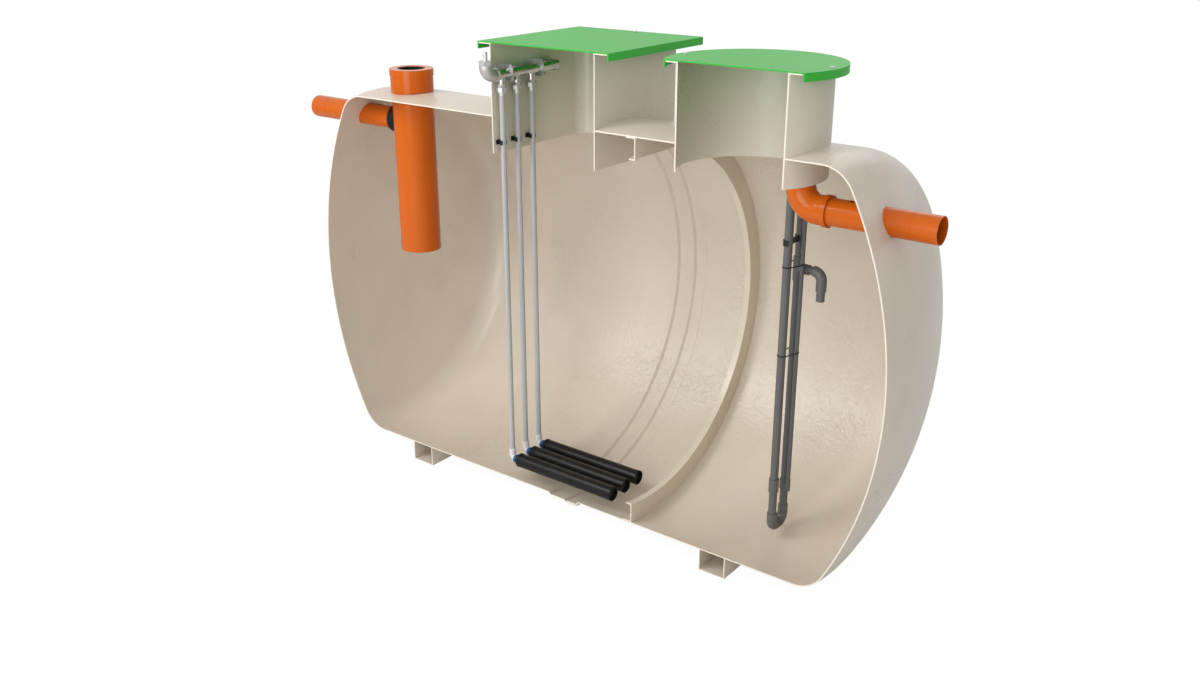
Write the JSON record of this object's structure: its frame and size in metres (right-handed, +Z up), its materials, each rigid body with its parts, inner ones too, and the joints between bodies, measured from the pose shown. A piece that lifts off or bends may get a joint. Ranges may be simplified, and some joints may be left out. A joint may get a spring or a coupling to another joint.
{
  "type": "packaged sewage treatment plant",
  "caption": "Sectioned horizontal moulded tank with dished ends, two lidded shafts, inlet drop pipe, air diffusers, airlift and outlet pipe on feet.",
  "frame": {"origin": "on the ground under the middle of the overall box, with the feet at Z = 0", "axes": "+X along the tank from the inlet to the outlet, +Y from the section plane to the rear of the tank, +Z up"},
  "size_m": [3.395, 1.207, 2.2026],
  "materials": {
    "grp_shell": "moulded glass fibre, slightly wavy, low gloss",
    "grp_trim": "moulded glass fibre, low gloss",
    "grp_shaft": "moulded glass fibre, low gloss",
    "green_lid": "moulded plastic, fine grain",
    "orange_pipe": "smooth drain pipe plastic",
    "black_rubber": "moulded rubber",
    "membrane": "rubber membrane, slight sheen",
    "blue_collar": "moulded plastic",
    "black_plastic": "moulded plastic",
    "grey_pipe": "smooth pressure pipe plastic",
    "metal_tail": "machined",
    "polished_steel": "polished steel tube",
    "plated_steel": "plated fittings, fine turning marks",
    "light_grey_plastic": "smooth pipe plastic"
  },
  "bodies": {
    "root": {"inlet_dome": "grp_shell", "inlet_barrel": "grp_shell", "joint_band": "grp_shell", "outlet_barrel": "grp_shell", "outlet_dome": "grp_shell", "stiffening_ring": "grp_trim", "inlet_foot": "grp_trim", "outlet_foot": "grp_trim", "rectangular_shaft": "grp_shaft", "rectangular_flange": "grp_trim", "rectangular_lid": "green_lid", "round_shaft": "grp_shaft", "round_flange_ring": "grp_trim", "round_lid": "green_lid", "inlet_pipe": "orange_pipe", "branch_seal": "black_rubber", "drop_pipe": "orange_pipe", "drop_socket": "orange_pipe", "drop_seal": "black_rubber", "outlet_pipe": "orange_pipe", "outlet_bend": "orange_pipe", "outlet_stub": "orange_pipe", "air_manifold": "polished_steel", "manifold_end_cap": "polished_steel", "manifold_elbow": "plated_steel", "hose_tail": "metal_tail", "clamp_front": "plated_steel", "clamp_rear": "plated_steel", "union_nut_1": "plated_steel", "union_nut_2": "plated_steel", "union_nut_3": "plated_steel", "riser_1": "light_grey_plastic", "riser_2": "light_grey_plastic", "riser_3": "light_grey_plastic", "riser_clip_1": "black_plastic", "riser_clip_2": "black_plastic", "riser_clip_3": "black_plastic", "riser_elbow_1": "light_grey_plastic", "riser_elbow_2": "light_grey_plastic", "riser_elbow_3": "light_grey_plastic", "collar_1": "blue_collar", "collar_2": "blue_collar", "collar_3": "blue_collar", "diffuser_1": "membrane", "diffuser_2": "membrane", "diffuser_3": "membrane", "lift_pipe_front": "grey_pipe", "lift_pipe_rear": "grey_pipe", "lift_coupling": "grey_pipe", "lift_bottom_bend": "grey_pipe", "lift_tee": "grey_pipe", "lift_spout": "grey_pipe", "lift_air_line": "grey_pipe", "lift_clip": "black_plastic", "lift_bracket": "grey_pipe", "cable_ties": "black_plastic"}
  },
  "joints": []
}
